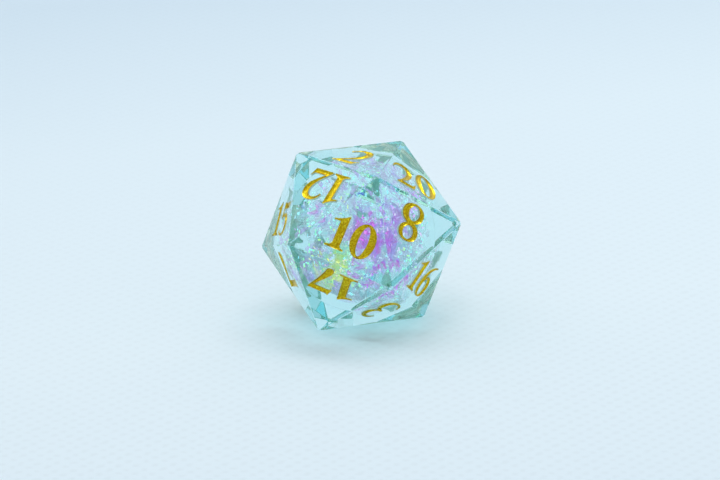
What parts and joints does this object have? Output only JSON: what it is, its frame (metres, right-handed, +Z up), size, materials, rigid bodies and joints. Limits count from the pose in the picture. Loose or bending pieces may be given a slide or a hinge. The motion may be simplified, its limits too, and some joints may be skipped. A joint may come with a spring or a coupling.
{
  "type": "polyhedral die",
  "caption": "Sharp-edged icosahedral gaming die of clear resin, cast round a ball of iridescent film flakes, with engraved numerals filled with gold paint.",
  "frame": {"origin": "on the resting face's plane, under the die's centre", "axes": "+Z up, out of the face that shows 2; +X along the edge between the resting face 19 and face 3, which is on the -Y side"},
  "size_m": [0.0214, 0.0244, 0.02],
  "materials": {
    "shell_resin": "clear, faintly aqua cast resin, polished",
    "core_resin": "clear cast resin, cured in a ball mould",
    "film": "crinkled iridescent film, pink, violet, cyan and green",
    "gold_paint": "metallic gold paint, glossy"
  },
  "bodies": {
    "root": {"film_large_flakes": "film", "film_medium_flakes": "film", "film_small_flakes": "film", "numeral_01_paint": "gold_paint", "numeral_02_paint": "gold_paint", "numeral_03_paint": "gold_paint", "numeral_04_paint": "gold_paint", "numeral_05_paint": "gold_paint", "numeral_06_paint": "gold_paint", "numeral_07_paint": "gold_paint", "numeral_08_paint": "gold_paint", "numeral_09_paint": "gold_paint", "numeral_10_paint": "gold_paint", "numeral_11_paint": "gold_paint", "numeral_12_paint": "gold_paint", "numeral_13_paint": "gold_paint", "numeral_14_paint": "gold_paint", "numeral_15_paint": "gold_paint", "numeral_16_paint": "gold_paint", "numeral_17_paint": "gold_paint", "numeral_18_paint": "gold_paint", "numeral_19_paint": "gold_paint", "numeral_20_paint": "gold_paint", "resin_core": "core_resin", "resin_shell": "shell_resin"}
  },
  "joints": []
}
